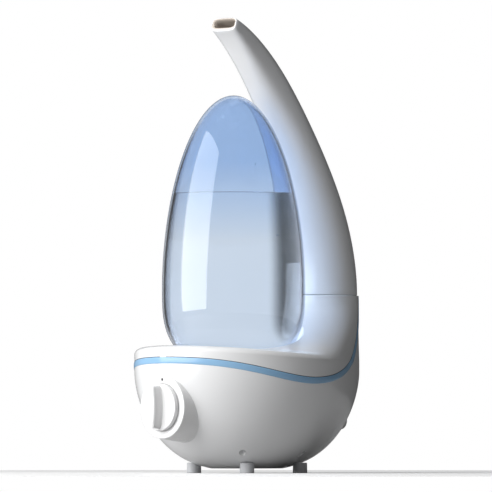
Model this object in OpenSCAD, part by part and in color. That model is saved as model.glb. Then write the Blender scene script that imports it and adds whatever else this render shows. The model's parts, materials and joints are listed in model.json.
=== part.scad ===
// Cool mist humidifier: a bowl-shaped base that rises into a rear mist column, a clear egg-shaped
// water tank seated in its deck, and a swan-neck nozzle that turns on the column.
// The front, with the knob, faces -Y. The origin is on the table, in the middle of the object.

/* [Base] */
// Radius of the round front of the base outline
nose_r = 88; // [80:0.5:96]
// Y of the centre of the round front
nose_y = -17.5; // [-22:0.5:-12]
// Radius of the rear column, at its top
column_r = 33; // [30:0.5:38]
// Y of the column's vertical axis
column_y = 86.5; // [80:0.5:95]
// Height at which the bowl is widest
belt_z = 88; // [80:1:94]
// Height of the bowl's flat underside
bowl_floor_z = 4; // [3:0.5:6]
// Height of the deck at the front rim
deck_z = 110; // [104:1:118]
// Fall of the deck towards the rear, in mm per mm
deck_slope = 0.09; // [0.04:0.01:0.14]
// Height of the joint between column and nozzle
joint_z = 155; // [145:1:170]
// Wall of the moulded shells
shell_wall = 2.5; // [2:0.1:3.2]
// Width of the coloured trim band
trim_w = 4.8; // [3:0.2:7]
// How far the trim band stands proud
trim_proud = 0.5; // [0.2:0.1:1]

/* [Tank] */
// Y of the tank's vertical axis
tank_y = -20.5; // [-24:0.5:-16]
// Largest radius of the tank
tank_r = 62; // [56:0.5:66]
// Height at which the tank is widest
tank_belly_z = 160; // [150:1:170]
// Height of the tank's crown above its widest level
tank_crown_h = 167; // [140:1:168]
// Height of the flat ring that the tank stands on
seat_z = 94; // [90:1:98]
// Wall of the tank
tank_wall = 2.4; // [1.6:0.1:3.4]
// Outer radius of the tank's threaded neck
neck_r = 22; // [18:0.5:24]
// Outer radius of the tank cap
cap_r = 24.5; // [23.5:0.5:26]
// Gap between tank and deck
tank_gap = 2.2; // [1.2:0.1:3]

/* [Nozzle] */
// Radius of the nozzle at its foot
nozzle_r = 32; // [28:0.5:33]
// Y of the nozzle's mouth
mouth_y = -32; // [-40:1:-20]
// Height of the middle of the mouth
mouth_z = 388; // [370:1:400]
// Half the width of the mouth
mouth_half_w = 15; // [12:0.5:20]
// Half the height of the mouth
mouth_half_h = 6.2; // [5:0.1:9]
// Upward tilt of the mouth in degrees
mouth_tilt = 18; // [5:1:30]
// Wall of the nozzle
nozzle_wall = 2.6; // [2:0.1:3]

/* [Knob] */
// Radius of the bezel's face
bezel_r = 27; // [24:0.5:29]
// Height of the knob's axis
knob_z = 56.6; // [52:0.2:60]
// Y of the bezel's face
bezel_face_y = -106.3; // [-110:0.1:-106]
// Radius of the dial
dial_r = 20.4; // [17:0.2:22]
// Thickness of the dial in front of the bezel
dial_t = 4.3; // [3:0.1:6]
// Height of the grip bar in front of the dial
grip_h = 9.2; // [6:0.1:10]
// Running gap between moving pieces
run_gap = 0.3; // [0.2:0.05:0.5]

/* [Inside] */
// Height of the top face of the chassis plate
chassis_z = 16.5; // [15:0.5:20]
// Height of the underside of the reservoir basin
basin_z = 62; // [58:1:66]
// Inner radius of the basin under the tank
basin_r = 42; // [38:0.5:44]
// Inner radius of the mist chamber
chamber_r = 20; // [17:0.5:21]
// Radius of the fan impeller
fan_r = 21; // [18:0.5:23]
// Y of the fan's axis
fan_y = 28; // [24:1:32]
// Outer radius of the mist duct
duct_r = 20; // [17:0.5:22]

/* [Feet] */
// Half the spacing of the feet from side to side
foot_x = 32.7; // [30:0.1:38]
// Half the spacing of the feet from front to back
foot_y = 32.3; // [26:0.1:36]
// Y of the middle of the four feet
feet_mid_y = -4.2; // [-8:0.1:2]
// Radius of a foot
foot_r = 6.3; // [5:0.1:8]

/* [Hidden] */
$fn = 72;
seam = 0.15;

// ---- outlines and lofts ----
outline_n = 44;
bowl_mid_y = -4.5;
bowl_depth = belt_z - 2;
outline_blend = 4;
flare_low_z = 97;
flare_power = 2.2;
tail = column_y - nose_y;

// Distance from the nose centre to the tangent line of the column's circle, at angle t
function column_reach(t) = column_r + tail * sin(t);
// Half the difference between the two circles' reaches
function reach_gap(t) = (nose_r - column_reach(t)) / 2;
// Length that blends the two circles into one smooth outline
function reach_mix(t) = sqrt(pow(reach_gap(t), 2) + pow(outline_blend, 2));
// The outline's reach at angle t: g is 0 for the column's circle and 1 for the whole base
function reach(t, g) =
    (1 - g) * column_reach(t) + g * ((nose_r + column_reach(t)) / 2 + reach_mix(t));
// How fast the reach changes with the angle
function reach_rate(t, g) =
    tail * cos(t) * ((1 - g) + g * (1 - reach_gap(t) / reach_mix(t)) / 2);
// A point of the outline, moved in by inset after the outline is scaled about the bowl's middle
function outline_point(t, g, size, inset) =
    let (x = reach(t, g) * cos(t) - reach_rate(t, g) * sin(t))
    let (y = nose_y + reach(t, g) * sin(t) + reach_rate(t, g) * cos(t))
    [size * x - inset * cos(t), bowl_mid_y + size * (y - bowl_mid_y) - inset * sin(t)];

// Size of the bowl at height z, against its belt
function bowl_size(z, inset) =
    z >= belt_z ? 1 : pow(1 - pow((belt_z - z) / (bowl_depth - inset), 1.75), 0.36);
// Height of the deck along Y
function deck_at(y) = deck_z - deck_slope * (min(y, 28) - nose_y + nose_r);
// How far the column's flare has opened at height z
function flare(z) = z <= flare_low_z ? 1 : pow((joint_z - min(z, joint_z)) / (joint_z - flare_low_z), flare_power);

// One level ring of the bowl
function bowl_ring(z, inset) =
    [for (i = [0:outline_n - 1])
        let (p = outline_point(i * 360 / outline_n, 1, bowl_size(z, inset), inset))
        [p[0], p[1], z]];
// One ring that follows the deck, moved in by edge and down by drop
function deck_ring(edge, drop, inset) =
    [for (i = [0:outline_n - 1])
        let (p = outline_point(i * 360 / outline_n, 1, 1, inset + edge))
        [p[0], p[1], deck_at(p[1]) - inset - drop]];
// One level ring of the column
function column_ring(z, inset, top) =
    [for (i = [0:outline_n - 1])
        let (p = outline_point(i * 360 / outline_n, flare(z + inset / 2), 1, inset))
        [p[0], p[1], z >= joint_z ? z + top : z]];

// Solid through a stack of rings with the same number of points
module loft(rings) {
    n = len(rings[0]);
    last = len(rings) - 1;
    sides = [for (k = [0:last - 1], i = [0:n - 1])
        let (j = (i + 1) % n)
        each [[k * n + i, (k + 1) * n + i, k * n + j], [k * n + j, (k + 1) * n + i, (k + 1) * n + j]]];
    foot = [for (i = [0:n - 1]) i];
    crown = [for (i = [n - 1:-1:0]) last * n + i];
    polyhedron([for (ring = rings) each ring], concat(sides, [foot, crown]), convexity = 8);
}
// Turns everything inside it into one mesh
module as_mesh() {
    resize([0, 0, 0]) children();
}
// Facets of small holes and posts, of the dial's parts and of the tank's well
mesh_fn = 28;
dial_fn = 44;
well_fn = 80;

bowl_steps = 9;
rim_round = [[0, 6], [0.8, 3], [3, 1], [8, 0]];
deck_steps = [20, 45, 70];
column_levels = [86, 97, 101, 106, 112, 120, 129, 140, joint_z];

// Outer form of the base, moved in by inset; top lengthens the column's open end
module base_form(inset, top) {
    low = bowl_floor_z + inset;
    bowl = [for (i = [0:bowl_steps])
        bowl_ring(low + (belt_z - low) * (1 - cos(90 * i / bowl_steps)), inset)];
    rim = [for (e = rim_round) deck_ring(e[0], e[1], inset)];
    crown = [for (e = deck_steps) deck_ring(e, 0, inset)];
    loft(concat(bowl, rim, crown));
    loft([for (z = column_levels) column_ring(z, inset, top)]);
}

// ---- the curve that parts the two shells, seen from the side ----
function bezier(a, b, c, d, t) =
    a * pow(1 - t, 3) + b * 3 * t * pow(1 - t, 2) + c * 3 * t * t * (1 - t) + d * pow(t, 3);
function bezier_dir(a, b, c, d, t) =
    let (v = (b - a) * pow(1 - t, 2) + (c - b) * 2 * t * (1 - t) + (d - c) * t * t)
    v / norm(v);
front_curve = [[-125, belt_z + 11.5], [-60, belt_z + 9], [-25, belt_z - 7], [26, belt_z - 7.5]];
rear_end_y = column_y + 0.74 * column_r;
rear_curve = [[26, belt_z - 7.5], [rear_end_y - 23, belt_z - 8], [rear_end_y, belt_z + 10],
    [rear_end_y, joint_z + 3]];
curve_steps = 12;
function part_line(offset) = [for (c = [front_curve, rear_curve], i = [0:curve_steps])
    if (i > 0 || c == front_curve)
        let (t = i / curve_steps, d = bezier_dir(c[0], c[1], c[2], c[3], t))
        bezier(c[0], c[1], c[2], c[3], t) + offset * [-d[1], d[0]]];
far = 200;

// Prism along X from an outline given in Y and Z
module side_prism(points) {
    rotate([90, 0, 90]) linear_extrude(2 * far, center = true) polygon(points);
}
module above_line(offset) {
    side_prism(concat(part_line(offset), [[rear_end_y - offset, far], [-far, far], [-far, belt_z]]));
}
module below_line(offset) {
    side_prism(concat(part_line(offset), [[rear_end_y - offset, far], [far, far], [far, -far],
        [-far, -far], [-far, belt_z]]));
}

// ---- the tank's outline ----
tank_base_curve_h = 72.5;
function tank_radius(z) = tank_r * sqrt(z >= tank_belly_z
    ? 1 - pow((z - tank_belly_z) / tank_crown_h, 1.9)
    : 1 - pow((tank_belly_z - z) / tank_base_curve_h, 3.2));
tank_steps = 18;
tank_base_z = seat_z;
// Half outline of the tank, moved in by inset, from its base up to its crown
function tank_outline(inset) = concat(
    [for (i = [0:6])
        let (z = tank_base_z + inset + (tank_belly_z - tank_base_z - inset) * (1 - pow(1 - i / 6, 1.6)))
        [tank_radius(z) - inset, z]],
    [for (i = [1:tank_steps])
        let (z = tank_belly_z + (tank_crown_h - inset) * sin(90 * i / tank_steps))
        [i == tank_steps ? 0 : max(tank_radius(z + inset * i / tank_steps) - inset, 0.4), z]]);
// Half outline of the well that the tank stands in, moved out by wall
function well_outline(wall) = [
    [tank_radius(seat_z + 9) + 1.6 + wall, seat_z - wall],
    [tank_radius(seat_z + 15) + tank_gap + wall, seat_z + 15],
    [tank_radius(seat_z + 25) + tank_gap + wall, seat_z + 25],
    [tank_radius(seat_z + 39) + tank_gap + wall, seat_z + 39],
    [tank_r + tank_gap + wall, seat_z + 56]];
well_hole_r = cap_r + 6;
// Screw posts: the rear pair carries the deck and the front pair the well
rear_posts = [[50, 12], [-50, 12]];
front_posts = [[42, -51], [-42, -51]];
post_spots = concat(rear_posts, front_posts);
post_r = 4.5;
post_split_z = 60;
foot_spots = [for (sx = [-1, 1], sy = [-1, 1]) [sx * foot_x, feet_mid_y + sy * foot_y]];
bushing_r = 5;

module at_tank() {
    translate([0, tank_y, 0]) children();
}
module at_column() {
    translate([0, column_y, 0]) children();
}
module tube(r_out, r_in, z_low, z_high) {
    translate([0, 0, z_low]) difference() {
        cylinder(r = r_out, h = z_high - z_low);
        translate([0, 0, -1]) cylinder(r = r_in, h = z_high - z_low + 2);
    }
}
module rod(r, z_low, z_high) {
    translate([0, 0, z_low]) cylinder(r = r, h = z_high - z_low);
}
// Rod along Y between two places
module y_rod(r, y_low, y_high) {
    translate([0, y_low, 0]) rotate([-90, 0, 0]) cylinder(r = r, h = y_high - y_low);
}
module block(x_low, x_high, y_low, y_high, z_low, z_high) {
    translate([x_low, y_low, z_low]) cube([x_high - x_low, y_high - y_low, z_high - z_low]);
}

// ---- housing ----
post_head_z = 26;
screw_r = 1.5;
screw_head_r = 3;
// Hole in a faceted shell whose flats just touch a round screw
screw_hole_r = screw_r / cos(180 / mesh_fn);
plate_cut_r = 38.5;
plate_screw_spots = [for (sx = [-1, 1], sy = [-1, 1]) [sx * 23, feet_mid_y + sy * 24]];
shelf_z = 138;
shelf_t = 2.8;
gland_height = 46;
gland_r = 5.5;
wall_front_y = bowl_mid_y + bowl_size(knob_z, 0) * (nose_y - nose_r - bowl_mid_y);
wall_rear_y = bowl_mid_y + bowl_size(gland_height, 0) * (column_y + column_r - bowl_mid_y);

module posts(spots, z_low, z_high) {
    intersection() {
        base_form(1, 0);
        for (p = spots) translate([p[0], p[1], 0]) rod(post_r, z_low, z_high);
    }
}

module lower_housing() {
    $fn = mesh_fn;
    color([0.95, 0.96, 0.97]) as_mesh() difference() {
        union() {
            difference() {
                base_form(0, 0);
                base_form(shell_wall, 5);
                above_line(-trim_w / 2);
            }
            posts(post_spots, 0, post_split_z);
            intersection() {
                base_form(1, 0);
                knob_axis() y_rod(pad_r, wall_front_y - 5, pot_front_y);
            }
        }
        for (p = post_spots) translate([p[0], p[1], 0]) {
            rod(screw_head_r + 0.2, 0, post_head_z);
            rod(screw_hole_r, post_head_z - 1, post_split_z + 1);
        }
        translate([0, feet_mid_y, 0]) rod(plate_cut_r + seam, -1, 12);
        knob_axis() y_rod(bushing_r + seam, wall_front_y - 5, pot_front_y + 1);
        knob_axis() y_rod(nut_r + 1, -far, wall_front_y - nut_gap);
        translate([0, 0, gland_height]) y_rod(gland_r + seam, wall_rear_y - 12, far);
    }
}

module upper_shell() {
    $fn = mesh_fn;
    color([0.97, 0.98, 0.99]) as_mesh() difference() {
        union() {
            difference() {
                base_form(0, 0);
                base_form(shell_wall, 5);
                below_line(trim_w / 2);
            }
            posts(rear_posts, post_split_z + 0.2, shelf_z);
            difference() {
                intersection() {
                    base_form(1, 0);
                    block(-far, far, column_y - 2 * column_r, far, shelf_z, shelf_z + shelf_t);
                }
                at_column() rod(duct_r + 7, shelf_z - 1, shelf_z + 5);
                difference() {
                    below_line(trim_w / 2);
                    base_form(shell_wall + seam, 0);
                }
            }
        }
        at_tank() well(shell_wall + seam, seat_z - shell_wall - seam);
        for (p = rear_posts) translate([p[0], p[1], 0]) rod(screw_hole_r, post_split_z - 1, post_split_z + 10);
    }
}
// Seat of the tank, let into the deck
module tank_well() {
    $fn = mesh_fn;
    color([0.97, 0.98, 0.99]) as_mesh() difference() {
        union() {
            intersection() {
                base_form(0, 0);
                at_tank() well(shell_wall, seat_z - shell_wall);
            }
            posts(front_posts, post_split_z + 0.2, seat_z + 4);
        }
        at_tank() well(0, seat_z);
        at_tank() rod(well_hole_r, 0, seat_z + 1);
        for (p = front_posts) translate([p[0], p[1], 0]) rod(screw_hole_r, post_split_z - 1, post_split_z + 10);
    }
}
// Solid of revolution in which the tank stands
module well(wall, z_low) {
    rim = well_outline(wall);
    rotate_extrude($fn = well_fn) polygon(concat([[0, z_low]], rim, [[rim[4][0], far], [0, far]]));
}

module trim_band() {
    color([0.42, 0.62, 0.82]) as_mesh() difference() {
        base_form(-trim_proud, 0);
        base_form(shell_wall, 5);
        above_line(trim_w / 2 - seam);
        below_line(seam - trim_w / 2);
        block(-far, far, -far, far, joint_z - seam, far);
    }
}

module bottom_plate() {
    $fn = mesh_fn;
    color([0.85, 0.86, 0.88]) as_mesh() difference() {
        base_form(0, 0);
        base_form(shell_wall, 5);
        difference() {
            block(-far, far, -far, far, -1, 2 * far);
            translate([0, feet_mid_y, 0]) rod(plate_cut_r, -1, 14);
        }
        for (i = [-3:3]) block(5 * i - 1.2, 5 * i + 1.2, 12, 28, 0, 14);
        for (p = plate_screw_spots) translate([p[0], p[1], 0]) {
            rod(screw_head_r + 0.2, 0, 7.2);
            rod(screw_hole_r, 0, 14);
        }
    }
}

module foot_pads() {
    $fn = mesh_fn;
    color([0.8, 0.8, 0.82]) as_mesh() difference() {
        for (p = foot_spots) translate([p[0], p[1], 0]) rod(foot_r, 0, 14);
        base_form(-seam, 0);
    }
}

module screw(z_head, z_tip) {
    rod(screw_head_r, z_head - 1.8, z_head);
    rod(screw_r, z_head, z_tip);
}
module plate_screws() {
    color([0.6, 0.6, 0.62]) for (p = plate_screw_spots)
        translate([p[0], p[1], 0]) screw(7.2, chassis_z - 1);
}
module shell_screws() {
    color([0.6, 0.6, 0.62]) for (p = post_spots)
        translate([p[0], p[1], 0]) screw(post_head_z, post_split_z + 9);
}

// ---- chassis and electronics ----
chassis_t = 2.5;
basin_posts = [[34, -45], [-34, -45], [34, 4], [-34, 4], [-12, 60]];
board_z = 21;
board_x = 27;
board_y = [-48, -10];
board_t = 1.6;

module chassis() {
    $fn = mesh_fn;
    color([0.75, 0.76, 0.78]) as_mesh() difference() {
        intersection() {
            base_form(shell_wall + run_gap, 0);
            union() {
                translate([0, -8, 0]) rod(58, chassis_z - chassis_t, chassis_z);
                block(-20, 20, 0, 70, chassis_z - chassis_t, chassis_z);
                for (p = plate_screw_spots) translate([p[0], p[1], 0]) rod(4, 0, chassis_z);
                for (p = basin_posts) translate([p[0], p[1], 0]) rod(3.5, 0, basin_z);
                for (x = [4 - board_x, board_x - 4], y = [board_y[0] + 4, board_y[1] - 4])
                    translate([x, y, 0]) rod(2.5, chassis_z - 1, board_z);
            }
        }
        translate([0, fan_y, 0]) rod(15, 0, chassis_z + 1);
        for (p = plate_screw_spots) translate([p[0], p[1], 0]) rod(screw_hole_r, 0, chassis_z - 0.8);
        for (p = post_spots) translate([p[0], p[1], 0]) rod(post_r + 0.5, 0, chassis_z + 1);
    }
}

module power_board() {
    color([0.15, 0.4, 0.22]) {
        block(-board_x, board_x, board_y[0], board_y[1], board_z, board_z + board_t);
        for (x = [9, 20]) translate([x, board_y[0] + 9, 0]) rod(4.5, board_z + board_t, board_z + 16);
        block(8, 22, board_y[1] - 14, board_y[1] - 10, board_z + board_t, board_z + 14);
    }
}
module transformer() {
    color([0.85, 0.7, 0.3]) block(-24, 2, board_y[0] + 5, board_y[1] - 7, board_z + board_t, board_z + 22);
}
module driver_board() {
    color([0.15, 0.4, 0.22]) {
        block(-17, 17, column_y - 22, column_y + 4, 44, 44 + board_t);
        translate([13, column_y - 4, 0]) rod(2.5, 44 + board_t, 52);
    }
}
module heat_sink() {
    color([0.75, 0.76, 0.78]) difference() {
        block(-9, 9, column_y - 13, column_y + 3, 44 + board_t, 53);
        for (i = [-2:2]) block(3.2 * i - 0.9, 3.2 * i + 0.9, column_y - 14, column_y + 4, 48, 54);
    }
}

// ---- knob ----
pad_r = 9.5;
pot_front_y = wall_front_y + 7;
nut_r = 7.6;
nut_gap = 0.4;
pot_depth = 9;
shaft_r = 3;
hub_r = 7;
recess_t = 0.8;

module knob_axis() {
    translate([0, 0, knob_z]) children();
}
// Ring whose back follows the bowl
module knob_bezel() {
    $fn = dial_fn;
    color([0.95, 0.96, 0.97]) as_mesh() difference() {
        knob_axis() translate([0, bezel_face_y, 0]) rotate([-90, 0, 0])
            cylinder(r1 = bezel_r, r2 = bezel_r + 4, h = 32);
        base_form(-seam, 0);
        knob_axis() y_rod(dial_r + run_gap, bezel_face_y - 1, bezel_face_y + recess_t);
        knob_axis() y_rod(hub_r + 1.5, bezel_face_y - 1, bezel_face_y + 30);
        knob_axis() y_rod(bezel_r - 2.5, bezel_face_y + recess_t + 2, bezel_face_y + 40);
        knob_axis() translate([0, 0, dial_r + 3.4]) y_rod(1.4, bezel_face_y - 1, bezel_face_y + 1);
    }
}
module bezel_marker() {
    color([0.1, 0.1, 0.12]) knob_axis() translate([0, 0, dial_r + 3.4])
        y_rod(1.3, bezel_face_y - 0.1, bezel_face_y + 0.9);
}
module control_knob() {
    dial_front = bezel_face_y - dial_t;
    color([0.97, 0.98, 0.99]) knob_axis() difference() {
        union() {
            translate([0, dial_front, 0]) rotate([-90, 0, 0]) rotate_extrude() polygon([
                [0, 0], [dial_r - 1.5, 0], [dial_r, 1.5],
                [dial_r, dial_t + recess_t - run_gap], [0, dial_t + recess_t - run_gap]]);
            y_rod(hub_r, bezel_face_y, wall_front_y - 3.6);
            intersection() {
                block(-4.2, 4.2, dial_front - grip_h, dial_front + 1, -dial_r, dial_r);
                y_rod(dial_r - 1.2, dial_front - grip_h - 1, dial_front + 2);
            }
        }
        y_rod(shaft_r, dial_front + 1, far);
    }
}
module pot_shaft() {
    color([0.7, 0.7, 0.72]) knob_axis() y_rod(shaft_r, bezel_face_y - dial_t + 1, pot_front_y + 4);
}
module potentiometer() {
    color([0.35, 0.36, 0.4]) knob_axis() difference() {
        union() {
            y_rod(8, pot_front_y, pot_front_y + pot_depth);
            y_rod(bushing_r, wall_front_y - 3, pot_front_y + 1);
        }
        y_rod(shaft_r + 0.08, wall_front_y - 9, pot_front_y + 4.3);
    }
}
module pot_nut() {
    color([0.8, 0.7, 0.4]) knob_axis() difference() {
        translate([0, wall_front_y - nut_gap - 2.3, 0]) rotate([-90, 0, 0]) cylinder(r = nut_r, h = 2.3, $fn = 6);
        y_rod(bushing_r, wall_front_y - 9, wall_front_y);
    }
}
module control_board() {
    color([0.15, 0.4, 0.22]) block(-20, 20, pot_front_y + pot_depth, pot_front_y + pot_depth + board_t,
        knob_z - 14, knob_z + 16);
}

// ---- water and mist ----
basin_wall = 2;
basin_top_z = seat_z - shell_wall - 1.4;
channel_x = [-20, -4];
float_x = -12;
float_y = 42;
float_z = 66;
float_h = 9;
float_travel = 7;
air_x = [4, 20];
air_y = [fan_y + 13, fan_y + 24];
port_z = [79, 87];

module basin_form(wall, z_low) {
    h = far - z_low;
    at_tank() translate([0, 0, z_low]) cylinder(r = basin_r + wall, h = h);
    at_column() translate([0, 0, z_low]) cylinder(r = chamber_r + wall, h = h);
    block(channel_x[0] - wall, channel_x[1] + wall, tank_y, column_y, z_low, far);
}
module reservoir_basin() {
    color([0.9, 0.92, 0.94]) {
        difference() {
            basin_form(basin_wall, basin_z);
            basin_form(0, basin_z + basin_wall);
            block(-far, far, -far, far, basin_top_z, 2 * far);
            at_column() rod(9, 0, basin_z + 5);
            at_column() holder_spots() rod(screw_r, 0, basin_z + 1.3);
            block(7, 15, column_y - chamber_r - 8, column_y - 8, port_z[0], port_z[1]);
        }
        translate([float_x, float_y, 0]) rod(2, basin_z + basin_wall, float_z + float_h + float_travel + 2);
        translate([float_x, float_y, 0]) tube(4, 2, basin_z + basin_wall, float_z - 0.2);
        for (x = [-11, 11]) translate([x, column_y - 17.5, 0]) rod(2.2, 44 + board_t, basin_z);
    }
}
module basin_gasket() {
    color([0.3, 0.3, 0.32]) difference() {
        at_tank() tube(basin_r + basin_wall, basin_r, basin_top_z, seat_z - shell_wall);
        block(-22, -2, tank_y + 20, tank_y + 60, 0, far);
    }
}
module basin_cover() {
    color([0.9, 0.92, 0.94]) difference() {
        union() {
            at_column() rod(chamber_r + 3, basin_top_z, basin_top_z + 2);
            block(channel_x[0] - 3, air_x[1], 31, column_y, basin_top_z, basin_top_z + 2);
        }
        at_column() rod(duct_r - 1.5, 0, far);
    }
}
module holder_spots() {
    for (a = [30, 150, 270]) rotate(a) translate([13.3, 0, 0]) children();
}
module transducer_holder() {
    color([0.82, 0.66, 0.35]) at_column() difference() {
        rod(16, basin_z - 6, basin_z);
        rod(10.6, basin_z - 3.5, basin_z + 1);
        rod(6, 0, basin_z);
        holder_spots() rod(screw_r, 0, basin_z + 1);
    }
}
module transducer_disc() {
    color([0.8, 0.8, 0.78]) at_column() rod(10, basin_z - 3.5, basin_z - 2);
}
module transducer_seal() {
    color([0.2, 0.2, 0.22]) at_column() tube(10.4, 7.5, basin_z - 2, basin_z);
}
module holder_screws() {
    color([0.6, 0.6, 0.62]) at_column() holder_spots() {
        rod(2.4, basin_z - 7.4, basin_z - 6);
        rod(screw_r, basin_z - 6, basin_z + 1);
    }
}
module level_float() {
    color([0.95, 0.95, 0.9]) translate([float_x, float_y, 0]) difference() {
        tube(6.5, 2.35, float_z, float_z + float_h);
        tube(5, 3.2, float_z - 1, float_z + 3);
    }
}
module float_magnet() {
    color([0.3, 0.3, 0.3]) translate([float_x, float_y, 0]) tube(5, 3.2, float_z + 0.2, float_z + 3);
}
module float_clip() {
    color([0.9, 0.92, 0.94]) translate([float_x, float_y, 0])
        tube(4.5, 2, float_z + float_h + float_travel + 0.2, float_z + float_h + float_travel + 1.8);
}

// ---- fan ----
fan_low_z = chassis_z;
fan_high_z = chassis_z + 15;
impeller_z = chassis_z + 3;
module at_fan() {
    translate([0, fan_y, 0]) children();
}
module fan_housing() {
    color([0.25, 0.26, 0.28]) difference() {
        union() {
            at_fan() rod(fan_r + 5, fan_low_z, fan_high_z);
            block(air_x[0], air_x[1], fan_y + 8, air_y[1], fan_low_z, fan_high_z);
        }
        at_fan() rod(fan_r + 3, fan_low_z + 1.5, fan_high_z - 1.5);
        at_fan() rod(14, 0, far);
        block(air_x[0] + 1.5, air_x[1] - 1.5, fan_y + 8, air_y[1] - 1.5, fan_low_z + 1.5, fan_high_z - 1.5);
        block(air_x[0] + 1.5, air_x[1] - 1.5, air_y[0] + 1.5, air_y[1] - 1.5, fan_high_z - 2, far);
    }
}
module fan_motor() {
    color([0.55, 0.56, 0.6]) at_fan() difference() {
        union() {
            rod(14, fan_high_z - 1.5, fan_high_z);
            rod(9, impeller_z + 3, fan_high_z - 1);
        }
        rod(1.55, 0, fan_high_z - 2);
    }
}
module fan_impeller() {
    color([0.15, 0.15, 0.16]) at_fan() {
        tube(fan_r, 9.4, impeller_z, impeller_z + 1.2);
        tube(11, 9.4, impeller_z, impeller_z + 9);
        rod(9.5, impeller_z, impeller_z + 1.6);
        rod(1.5, impeller_z + 1, fan_high_z - 2.5);
        for (i = [0:10]) rotate(i * 360 / 11) block(14, fan_r, -0.6, 0.6, impeller_z + 1, impeller_z + 9);
    }
}
module air_duct() {
    spout_end = column_y - chamber_r - basin_wall + 0.5;
    color([0.85, 0.86, 0.88]) difference() {
        union() {
            block(air_x[0], air_x[1], air_y[0], air_y[1], fan_high_z, port_z[1] + 1.5);
            block(air_x[0] + 1.5, air_x[1] - 3, air_y[0] + 5, spout_end, port_z[0] - 1, port_z[1] + 1.5);
        }
        block(air_x[0] + 1.5, air_x[1] - 1.5, air_y[0] + 1.5, air_y[1] - 1.5, 0, port_z[1]);
        block(air_x[0] + 3, air_x[1] - 4.5, air_y[0] + 5, spout_end + 1, port_z[0] + 0.5, port_z[1]);
    }
}
module mist_duct() {
    color([0.9, 0.92, 0.94]) at_column() {
        tube(duct_r, duct_r - 1.5, basin_top_z + 2, joint_z - 4);
        tube(duct_r + 3, duct_r - 0.5, basin_top_z + 2, basin_top_z + 4);
    }
}

// ---- nozzle ----
collar_low_z = shelf_z + shelf_t;
collar_in_r = duct_r + 7.7;
collar_out_r = column_r - shell_wall - run_gap;
// Neck of the collar that stands inside the nozzle's foot
collar_neck_r = nozzle_r - nozzle_wall - 2 * run_gap;
collar_neck_h = 6;
oring_r = 0.8;
groove_t = 1.5;
nozzle_n = 36;
nozzle_steps = 15;
nozzle_low_z = joint_z + run_gap;
path_points = [[column_y, nozzle_low_z], [column_y + 0.5, joint_z + 85],
    [mouth_y + 60, mouth_z - 36], [mouth_y, mouth_z]];

module nozzle_collar() {
    color([0.9, 0.92, 0.94]) at_column() difference() {
        union() {
            rod(collar_out_r, collar_low_z, joint_z);
            rod(collar_neck_r, collar_low_z, joint_z + collar_neck_h);
        }
        rod(collar_in_r, collar_low_z + 2, far);
        rod(duct_r + 1.5, 0, far);
        tube(far, collar_out_r - groove_t, joint_z - 8, joint_z - 6.2);
    }
}
module collar_oring() {
    color([0.25, 0.25, 0.27]) at_column() translate([0, 0, joint_z - 7.1])
        rotate_extrude() translate([collar_out_r - groove_t + oring_r + 0.05, 0]) circle(oring_r);
}
function path_at(t) = bezier(path_points[0], path_points[1], path_points[2], path_points[3], t);
function path_dir(t) = bezier_dir(path_points[0], path_points[1], path_points[2], path_points[3], t);
// Angle of the nozzle's direction above the -Y axis, turned to the mouth's tilt at the end
function path_angle(t) =
    let (d = path_dir(min(max(t, 0), 1)), own = atan2(d[1], -d[0]))
    own + (mouth_tilt - own) * pow(max(0, (t - 0.8) / 0.2), 2);
function half_width(t) = nozzle_r + (mouth_half_w - nozzle_r) * pow(sin(90 * min(1, 1.1 * t)), 2);
function half_depth(t) = nozzle_r + (mouth_half_h - nozzle_r) * (pow(max(t, 0), 1.5) + 0.15 * pow(sin(180 * min(t, 1)), 4));
// One section of the nozzle, square to its path: from a circle at the foot to a rounded slot
function nozzle_ring(t, wall, lift) =
    let (c = path_at(t), a = path_angle(t), power = 2 / (2 + 2 * pow(t, 3)))
    let (w = half_width(t) - wall, h = half_depth(t) - wall)
    [for (i = [0:nozzle_n - 1])
        let (q = i * 360 / nozzle_n, s = sin(q), r = cos(q))
        let (x = w * sign(r) * pow(abs(r), power), v = h * sign(s) * pow(abs(s), power) + lift * pow(t, 6))
        [x, c[0] + v * sin(a), c[1] + v * cos(a)]];
module nozzle_form(wall, lift, extra) {
    loft([for (k = [0:nozzle_steps]) nozzle_ring(k / nozzle_steps * (1 + 2 * extra) - extra, wall, lift)]);
}
module mist_nozzle() {
    $fn = dial_fn;
    color([0.96, 0.97, 0.98]) as_mesh() difference() {
        nozzle_form(0, 0, 0);
        nozzle_form(nozzle_wall, 1, 0.015);
    }
}

// ---- tank ----
neck_low_z = seat_z - 12;
cap_low_z = neck_low_z - 3.5;
valve_z = cap_low_z + 2;
cage_top_z = valve_z + 17.5;
stem_r = 1.8;
spring_r = 4.6;
spring_wire = 0.6;
spring_turns = 5;

module water_tank() {
    color([0.55, 0.72, 0.92, 0.5]) at_tank() rotate_extrude() difference() {
        union() {
            polygon(concat([[0, tank_base_z]], tank_outline(0)));
            translate([0, neck_low_z]) square([neck_r, seat_z - neck_low_z + 1]);
        }
        polygon(concat([[0, tank_base_z + tank_wall]], tank_outline(tank_wall)));
        translate([0, neck_low_z - 1]) square([neck_r - 3, 20]);
    }
}
module tank_cap() {
    color([0.3, 0.45, 0.7]) at_tank() {
        difference() {
            rod(cap_r, cap_low_z, seat_z - 1);
            rod(neck_r + 0.1, valve_z, far);
            rod(6, 0, far);
            for (i = [0:17]) rotate(20 * i) translate([cap_r + 0.6, 0, 0]) rod(1.4, 0, far);
        }
        for (a = [0, 120, 240]) rotate(a) block(11, 14, -2, 2, valve_z, cage_top_z);
        for (a = [0, 120, 240]) rotate(a) block(3, 14, -2, 2, cage_top_z - 2, cage_top_z);
        tube(5, stem_r + 0.15, cage_top_z - 2, cage_top_z);
    }
}
module cap_gasket() {
    color([0.25, 0.25, 0.27]) at_tank() tube(neck_r, neck_r - 3.5, valve_z, neck_low_z);
}
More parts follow.
